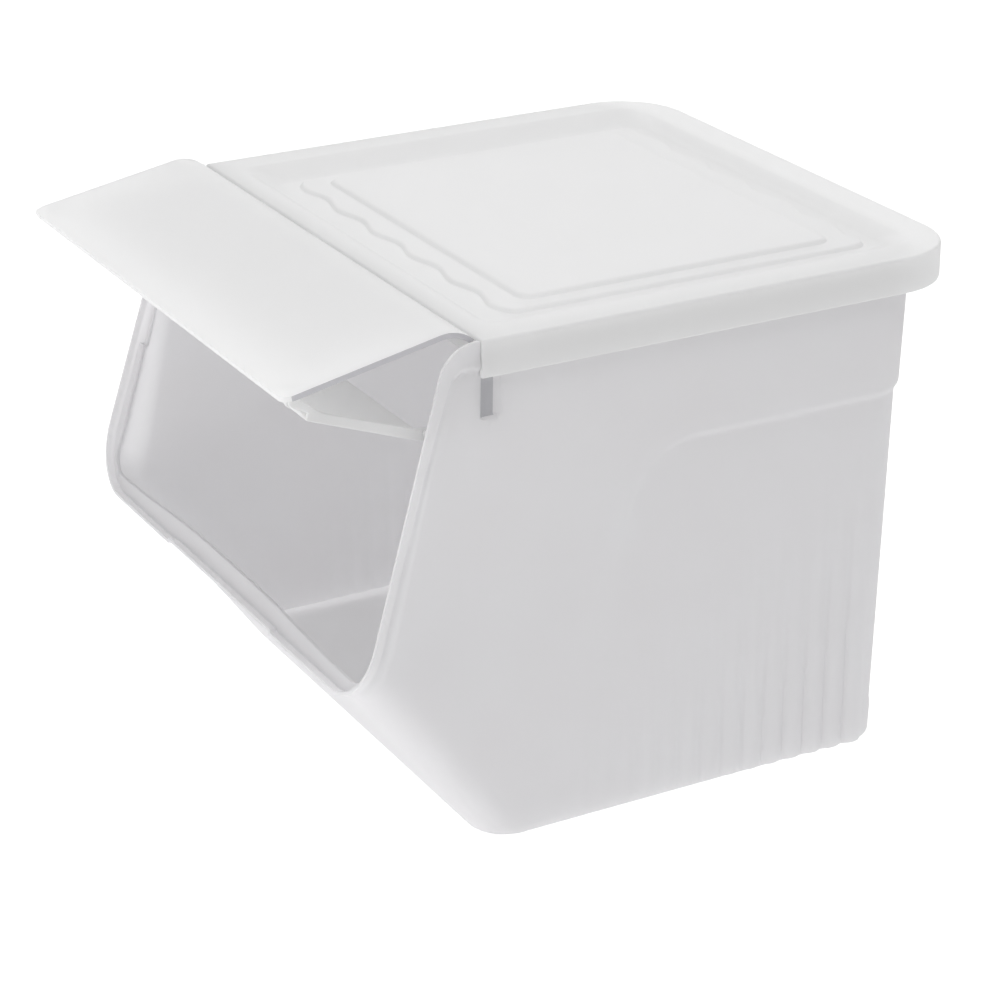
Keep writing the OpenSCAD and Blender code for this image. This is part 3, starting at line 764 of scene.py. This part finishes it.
def buildLower():
    # A plate with a flange down each side; the flange carries the fold pin and the guide pin
    bm = bmesh.new()
    half, face = flap["lowerHalf"], flap["face"]
    roll = flap["lowerRoll"]
    start, end, thick = flap["lowerStart"], flap["lowerEnd"], flap["lowerThick"]
    outline = [(start + a, face - b) for a, b in roll]
    outline += [(mix(start, end, i / 8), face) for i in range(1, 8)]
    outline += [(end - a, face - b) for a, b in reversed(roll)]
    outline += [(end - a, face - thick + b) for a, b in roll]
    outline += [(mix(end, start, i / 8), face - thick) for i in range(1, 8)]
    outline += [(start + a, face - thick + b) for a, b in reversed(roll)]
    across(bm, sideView(outline), -half + 0.6, half - 0.6, folded, bothSides=False)
    under = face - flap["thick"]
    foldDown, foldOut = flap["fold"]
    guideDown, guideOut = flap["guide"]
    boss, tip, edge = flap["foldBoss"], flap["guideBoss"], flap["flangeEdge"]
    # The flange starts at the fold's boss and stays clear of the upper panel's edge
    side = [(foldDown, foldOut + boss), (start - 1.5, under - 1.4), (start - 0.1, under - 0.9)]
    side += [(start, face - 0.6), (start + 0.8, face)]
    side += [(end - 1.4, face), (end - 0.5, face - 0.6), (end - 0.3, face - 1.6)]
    side += [(guideDown + tip * math.sin(a), guideOut + tip * math.cos(a)) for a in arcAngles(90, 7)]
    side += [(guideDown - 6, edge), (start + 8, edge), (start + 3, edge - 0.8)]
    side += [(foldDown + boss * math.sin(a), foldOut + boss * math.cos(a)) for a in arcAngles(165, 13)]
    across(bm, sideView(side), half - flap["flangeThick"], half, folded)
    place = onRim(0, *flap["fold"])
    pin = circleOutline(place.y, place.z, flap["foldPin"])
    across(bm, pin, flap["lugX"] - flap["lugThick"], half - 1, folded)
    place = onRim(0, *flap["guide"])
    pin = circleOutline(place.y, place.z, flap["guidePin"], 16)
    across(bm, pin, half - 0.5, half + flap["guideReach"], folded)
    return bm


ledge = {
    "half": 144.6, "spread": 0.0189, "spreadFrom": -40, "roll": 0.7, "bendGap": 2.0,
    "face": -3.9, "thick": 2.2, "step": 95.0, "stepFace": -5.5, "stepThick": 2.8,
    "seam": 0.02, "lipInset": 1.9, "stepInset": 3.6,
    "foot": 160.0, "gapFoot": 164.0, "gapFrom": 30, "gapX": 132.0,
    "innerCorner": 12.0, "cornerDown": 155, "end": -123.7,
    "tab": (58.0, -6.4, 147.7, 149.4, 8.0, 2.0),
    "tabOutline": ((0, 0), (1, 0), (1, 0.75), (0.85, 1), (0.15, 1), (0, 0.75)),
    # Rings as (x, radius) from the bore's end over its rim to the boss's foot in the wall
    "bossRings": ((145.4, 2.75), (144.0, 2.75), (143.8, 3.0), (143.8, 6.0), (144.2, 6.5), (145.4, 6.6)),
    "bossTop": 255.4,
}


def ledgeInner(down):
    return ledge["half"] + ledge["spread"] * (down - ledge["spreadFrom"])


def ledgeFoot(x):
    # The opening's lower edge lies a little lower near its corners
    return mix(ledge["foot"], ledge["gapFoot"], smooth(ledge["gapFrom"], ledge["gapX"], x))


def inOpening(x, down):
    # Whether a place at the lower corner lies inside the ledge's rounded opening
    r, side = ledge["innerCorner"], ledgeInner(ledge["cornerDown"])
    low = ledgeFoot(x)
    if x > side - r and down > low - r:
        return math.hypot(x - side + r, down - low + r) < r
    return x < side and down < low


def ledgeSection(place, inner, outer, shelf, slope=1.0):
    # Inner edge rounded over; the outer edge stays buried in the sloping wall
    (face, thick), r = shelf, ledge["roll"]
    outer = max(outer, inner + r + 0.4)
    foot = max(outer - slope * thick, inner + r + 0.2)
    bevel = r * 0.3
    shape = [(outer, 0), (mix(inner + r, outer, 0.5), 0), (inner + r, 0), (inner + bevel, -bevel),
             (inner, -r), (inner, r - thick), (inner + bevel, bevel - thick), (inner + r, -thick),
             (foot, -thick)]
    return [place(sideways, face + drop) for sideways, drop in shape]


def buildLedge():
    # The shelf behind the lip that stops the flap; it steps back where the upper panel's edge lies
    side = []
    centre = onRim(0, *flap["bend"])
    reach = flap["bendRadius"] - flap["thick"] - ledge["bendGap"]
    stepped, plain = (ledge["stepFace"], ledge["stepThick"]), (ledge["face"], ledge["thick"])
    for i in range(16):
        a = (quarter - lean) * max(i - 2, 0) / 13
        y, z = centre.y - reach * math.sin(a), centre.z + reach * math.cos(a)
        if i < 2:
            y = mix(ledge["end"], centre.y, i / 2)
        down = downOf(y, z)
        spot, outward = Vector((0, y, z)), Vector((0, -math.sin(a), math.cos(a)))
        outer = min(rimX(down), wallX(z) + 2) - 1.5
        side.append(ledgeSection(lambda x, n: spot + outward * (n - stepped[0]) + Vector((x, 0, 0)),
                                 ledgeInner(down), outer, stepped, 0))
    seam, inset = ledge["seam"], ledge["lipInset"]
    for down in (30, 45, 60, 75, 90, ledge["step"] - seam):
        outer = rimX(down) - ledge["stepInset"]
        side.append(ledgeSection(lambda x, n: onRim(x, down, n), ledgeInner(down), outer, stepped))
    for down in (ledge["step"] + seam, 105, 115, 125, 135):
        outer = rimX(down) - inset
        side.append(ledgeSection(lambda x, n: onRim(x, down, n), ledgeInner(down), outer, plain))
    # Round the corner, the opening's edge is found along rays from the lip's centre
    cx, cs, r = tub["rimCornerX"], tub["rimCornerDown"], tub["rimCorner"]
    for i in range(37):
        c, n = math.cos(math.radians(2.5 * i)), math.sin(math.radians(2.5 * i))
        near, far = 5.0, r - 3
        for _ in range(24):
            middle = (near + far) / 2
            if inOpening(cx + middle * c, cs + middle * n):
                near = middle
            else:
                far = middle
        side.append(ledgeSection(lambda d, out: onRim(cx + d * c, cs + d * n, out), near, r - inset, plain))
    notch = tub["notchHalf"]
    for x in (118, 110, 102, 95, 80, notch + 2, notch - 2, 40, 20, 0):
        outer = tub["rimFoot"] - inset - tub["notchDepth"] * smooth(notch + 2, notch - 2, x)
        side.append(ledgeSection(lambda d, out: onRim(x, d, out), ledgeFoot(x), outer, plain))
    far = [[Vector((-v.x, v.y, v.z)) for v in loop] for loop in side[:-1]]
    bm = bmesh.new()
    stackLoops(bm, side + far[::-1])
    bmesh.ops.recalc_face_normals(bm, faces=bm.faces)
    return bm


def buildTabs():
    # Stop tabs that hold the flap open, and the bosses round the hinge bores
    bm = bmesh.new()
    down, out, fromX, toX, high, thick = ledge["tab"]
    corners = [(down - high / 2 + a * high, out + b * thick) for a, b in ledge["tabOutline"]]
    across(bm, sideView(corners), fromX, toX, Matrix.Identity(4))
    y, z = flap["hinge"]
    loops = []
    for x, r in ledge["bossRings"]:
        loop = []
        for i in range(32):
            a = 2 * math.pi * i / 32
            loop.append(Vector((x, y + r * math.cos(a), min(z + r * math.sin(a), ledge["bossTop"]))))
        loops.append(loop)
    for sign in (1, -1):
        part = bmesh.new()
        mirrored = [[Vector((v.x * sign, v.y, v.z)) for v in loop] for loop in loops]
        stackLoops(part, mirrored, capFirst=False, capLast=False)
        ends = [e for e in part.edges if e.is_boundary]
        bmesh.ops.bridge_loops(part, edges=ends)
        bmesh.ops.recalc_face_normals(part, faces=part.faces)
        mesh = meshFrom(part, "boss")
        bm.from_mesh(mesh)
        bpy.data.meshes.remove(mesh)
    return bm


def soften(piece, width, segments=3, angle=35):
    rounding = piece.modifiers.new("edges", "BEVEL")
    rounding.width = width * mm
    rounding.segments = segments
    rounding.limit_method = "ANGLE"
    rounding.angle_limit = math.radians(angle)
    weighted = piece.modifiers.new("normals", "WEIGHTED_NORMAL")
    weighted.weight = 70


def evenOut(piece, angle=50):
    # Keeps flat faces flat in the shading beside their rounded edges
    piece.data.set_sharp_from_angle(angle=math.radians(angle))
    weighted = piece.modifiers.new("normals", "WEIGHTED_NORMAL")
    weighted.keep_sharp = True
    weighted.weight = 70


def thicken(piece, thickness, thinAt=None, thin=1.0):
    wall = piece.modifiers.new("wall", "SOLIDIFY")
    if thinAt:
        full = piece.vertex_groups.new(name="full wall")
        for v in piece.data.vertices:
            full.add([v.index], thinAt(v.co), "REPLACE")
        wall.vertex_group = full.name
        wall.thickness_vertex_group = thin
    wall.thickness = thickness * mm
    wall.offset = -1
    wall.use_even_offset = True


# Materials: white injection-moulded polypropylene, mixed for the bin, the lid and the flap
resin = {"ior": 1.49, "grainDepth": 0.05, "sinkSize": 70, "sinkStrength": 0.15, "sinkDepth": 0.4}


def pocketShadeMask(tree, where):
    # White on the pocket's floor, where the colour is darkened as painted shade
    parts = addNode(tree, "ShaderNodeSeparateXYZ", {}, {"Vector": where})
    inside = {}
    for i, (start, end) in enumerate(pocket["painted"]):
        middle, reach = (start + end) / 2 * mm, (end - start) / 2 * mm
        inside[i] = addNode(tree, "ShaderNodeMath", {"operation": "COMPARE", 1: middle, 2: reach},
                            {0: parts.outputs["YZ"[i]]}).outputs[0]
    return addNode(tree, "ShaderNodeMath", {"operation": "MULTIPLY"}, inside).outputs[0]


def edgeShadeMask(tree, where):
    # White along the upper panel's side edges, which spread towards its front; the colour there is darkened
    # as painted shade
    foot = opened @ onRim(0, 0, flap["face"])
    along = opened.to_3x3() @ (onRim(0, 1, 0) - onRim(0, 0, 0))
    start = (along.dot(foot) + flap["bend"][0]) * flap["spread"] * mm
    parts = addNode(tree, "ShaderNodeSeparateXYZ", {}, {"Vector": where})
    outwards = addNode(tree, "ShaderNodeMath", {"operation": "ABSOLUTE"}, {0: parts.outputs["X"]})
    down = addNode(tree, "ShaderNodeVectorMath", {"operation": "DOT_PRODUCT", 1: along * flap["spread"]},
                   {0: where})
    flare = addNode(tree, "ShaderNodeMath", {"operation": "SUBTRACT", 1: start}, {0: down.outputs["Value"]})
    flare = addNode(tree, "ShaderNodeMath", {"operation": "MAXIMUM", 1: 0.0}, {0: flare.outputs[0]})
    past = addNode(tree, "ShaderNodeMath", {"operation": "SUBTRACT"},
                   {0: outwards.outputs[0], 1: flare.outputs[0]})
    edge = (flap["halfWidth"] - flap["paintedEdge"]) * mm
    return addNode(tree, "ShaderNodeMath", {"operation": "GREATER_THAN", 1: edge},
                   {0: past.outputs[0]}).outputs[0]


def makePlastic(name, settings):
    plastic = bpy.data.materials.new(name)
    plastic.use_nodes = True
    tree = plastic.node_tree
    shader = tree.nodes["Principled BSDF"]
    where = addNode(tree, "ShaderNodeTexCoord").outputs["Object"]
    # Slow clouding in the resin, a few centimetres wide
    cloud = addNode(tree, "ShaderNodeTexNoise", {"Scale": 1 / (settings["cloudSize"] * mm), "Detail": 2.0},
                    {"Vector": where})
    tint = addNode(tree, "ShaderNodeMix", {"data_type": "RGBA"}, {"Factor": cloud.outputs["Fac"]})
    tint.inputs["A"].default_value = linearColour(settings["deep"])
    tint.inputs["B"].default_value = linearColour(settings["pale"])
    colour = tint.outputs["Result"]
    if "mask" in settings:
        # Painted darker there, to stand in for its shading
        dark = addNode(tree, "ShaderNodeMix", {"data_type": "RGBA"},
                       {"Factor": settings["mask"](tree, where), "A": colour})
        dark.inputs["B"].default_value = linearColour(settings["shadeTone"])
        colour = dark.outputs["Result"]
    tree.links.new(colour, shader.inputs["Base Color"])
    # Fine spark-eroded grain of the mould, which breaks up the sheen
    grain = addNode(tree, "ShaderNodeTexNoise", {"Scale": 1 / (settings["grainSize"] * mm), "Detail": 3.0},
                    {"Vector": where})
    dullest, glossiest = settings["sheen"] + 0.05, settings["sheen"] - 0.04
    sheen = addNode(tree, "ShaderNodeMapRange", {"To Min": glossiest, "To Max": dullest},
                    {"Value": grain.outputs["Fac"]})
    tree.links.new(sheen.outputs["Result"], shader.inputs["Roughness"])
    depth = resin["grainDepth"] * mm
    relief = addNode(tree, "ShaderNodeBump", {"Strength": settings["relief"], "Distance": depth},
                     {"Height": grain.outputs["Fac"]})
    # Long, faint sinks where the wall cooled unevenly
    sink = addNode(tree, "ShaderNodeTexNoise", {"Scale": 1 / (resin["sinkSize"] * mm), "Detail": 1.0},
                   {"Vector": where})
    depth = resin["sinkDepth"] * mm
    waves = addNode(tree, "ShaderNodeBump", {"Strength": resin["sinkStrength"], "Distance": depth},
                    {"Height": sink.outputs["Fac"], "Normal": relief.outputs["Normal"]})
    tree.links.new(waves.outputs["Normal"], shader.inputs["Normal"])
    shader.inputs["IOR"].default_value = resin["ior"]
    shader.inputs["Specular IOR Level"].default_value = settings["gloss"]
    # Thin milky walls let part of the light through, so the inside stays pale
    milk = addNode(tree, "ShaderNodeBsdfTranslucent", {}, {"Color": colour})
    blend = addNode(tree, "ShaderNodeMixShader", {"Fac": settings["milk"]},
                    {1: shader.outputs["BSDF"], 2: milk.outputs["BSDF"]})
    tree.links.new(blend.outputs["Shader"], tree.nodes["Material Output"].inputs["Surface"])
    return plastic


# The bin's plastic is painted darker on the pocket's floor, as painted shade
binPlastic = makePlastic("moulded polypropylene, satin bin wall", {
    "deep": "#f1f0f1", "pale": "#f3f3f4", "cloudSize": 45, "grainSize": 0.5, "sheen": 0.42,
    "relief": 0.25, "milk": 0.5, "gloss": 0.4, "mask": pocketShadeMask, "shadeTone": "#cfcfd2",
})
lidPlastic = makePlastic("moulded polypropylene, smooth white lid", {
    "deep": "#f4f4f4", "pale": "#f6f6f6", "cloudSize": 60, "grainSize": 0.6, "sheen": 0.44,
    "relief": 0.18, "milk": 0.38, "gloss": 0.3,
})
# The flap's plastic is painted darker along the upper panel's side edges, as painted shade
flapPlastic = makePlastic("moulded polypropylene, thin folding panel", {
    "deep": "#f4f4f4", "pale": "#f6f6f6", "cloudSize": 50, "grainSize": 0.5, "sheen": 0.44,
    "relief": 0.2, "milk": 0.45, "gloss": 0.3, "mask": edgeShadeMask, "shadeTone": "#cac9cd",
})

shell = toObject(buildBinShell(), "bin_shell", "bin", ["bin_body"], binPlastic)

thicken(shell, tub["wall"], wallShare, tub["lipThin"])
soften(shell, 0.7, 3, 50)
shelf = toObject(buildLedge(), "mouth_ledge", "bin", [], binPlastic)
evenOut(shelf)
tabs = toObject(buildTabs(), "stops_and_bosses", "bin", [], binPlastic)
soften(tabs, 0.35, 2)
print("bin built")
cover = toObject(buildLid(), "lid_cover", "lid", ["lid", "lid_skirt"], lidPlastic)
evenOut(cover)
rib = toObject(buildRing(), "lid_ring", "lid", [], lidPlastic)
evenOut(rib, 30)
print("lid built")
leaf = toObject(buildUpper(), "upper_leaf", "upper_panel", ["upper_flap"], flapPlastic)
thicken(leaf, flap["thick"])
soften(leaf, 0.8, 3, 50)
lugs = toObject(buildLugs(), "upper_lugs", "upper_panel", [], flapPlastic)
soften(lugs, 0.4, 2)
under = toObject(buildLower(), "lower_leaf", "lower_panel", ["lower_flap"], flapPlastic)
soften(under, 0.6, 3)
print("flap built")


# Studio: a pale sweep that glows a little, with a painted shadow under the bin, a white dome, two broad
# soft lights and a small front fill
studio = {
    "sweep": "#8c8c8c", "sweepRoughness": 0.9, "sweepSpecular": 0.1, "sweepSize": 6,
    # Distances in metres from the middle between which the glow grows, and fades again
    "besideX": (0.126, 0.140), "besideY": (0.102, 0.116), "fade": (0.2, 0.8),
    # The sweep's glow under the object, lowered as a painted shadow
    "paintedShadowGlow": 0.55, "glow": (1.1, 0.98),
    "dome": "#fefefe", "domeStrength": 0.32,
}


def makeFloor():
    paint = bpy.data.materials.new("studio sweep, backlit matt white")
    paint.use_nodes = True
    tree = paint.node_tree
    matt = tree.nodes["Principled BSDF"]
    matt.inputs["Base Color"].default_value = linearColour(studio["sweep"])
    matt.inputs["Roughness"].default_value = studio["sweepRoughness"]
    matt.inputs["Specular IOR Level"].default_value = studio["sweepSpecular"]
    where = addNode(tree, "ShaderNodeTexCoord").outputs["Object"]
    # The glow is dimmed under the object as a painted shadow, and is strongest just beside it
    parts = addNode(tree, "ShaderNodeSeparateXYZ", {}, {"Vector": where})
    sides = {}
    for i, axis in enumerate("XY"):
        low, high = studio["beside" + axis]
        away = addNode(tree, "ShaderNodeMath", {"operation": "ABSOLUTE"}, {0: parts.outputs[axis]})
        sides[i] = addNode(tree, "ShaderNodeMapRange", {"From Min": low, "From Max": high},
                           {"Value": away.outputs[0]}).outputs["Result"]
    beside = addNode(tree, "ShaderNodeMath", {"operation": "MAXIMUM"}, sides)
    spread = addNode(tree, "ShaderNodeVectorMath", {"operation": "LENGTH"}, {0: where})
    keys = ("From Min", "From Max", "To Min", "To Max")
    fall = addNode(tree, "ShaderNodeMapRange", dict(zip(keys, studio["fade"] + studio["glow"])),
                   {"Value": spread.outputs["Value"]})
    glow = addNode(tree, "ShaderNodeMapRange", {"To Min": studio["paintedShadowGlow"]},
                   {"Value": beside.outputs[0], "To Max": fall.outputs["Result"]})
    matt.inputs["Emission Color"].default_value = linearColour("#ffffff")
    tree.links.new(glow.outputs["Result"], matt.inputs["Emission Strength"])
    bm = bmesh.new()
    bmesh.ops.create_grid(bm, x_segments=2, y_segments=2, size=studio["sweepSize"])
    mesh = meshFrom(bm, "floor")
    mesh.materials.append(paint)
    floor = addObject("floor", mesh)


def makeLight(name, place, target, size, power):
    data = bpy.data.lights.new(name, "AREA")
    data.size = size
    data.energy = power
    light = addObject(name, data)
    turn = (Vector(target) - Vector(place)).to_track_quat("-Z", "Y").to_matrix().to_4x4()
    light.matrix_world = Matrix.Translation(place) @ turn


makeFloor()
world = bpy.data.worlds.new("white dome")
world.use_nodes = True
sky = world.node_tree.nodes["Background"]
sky.inputs["Color"].default_value = linearColour(studio["dome"])
sky.inputs["Strength"].default_value = studio["domeStrength"]
bpy.context.scene.world = world
bpy.context.scene.view_settings.view_transform = "Standard"
makeLight("overhead softbox", (0.5, 0.2, 3.3), (0, 0, 0.25), 2.2, 66)
makeLight("rear sheen panel", (-2.4, 1.5, 1.4), (0, 0, 0.25), 3.0, 33)
makeLight("front fill", (0.1, -1.6, 0.5), (0, 0, 0.15), 1.2, 8)
print("studio ready")
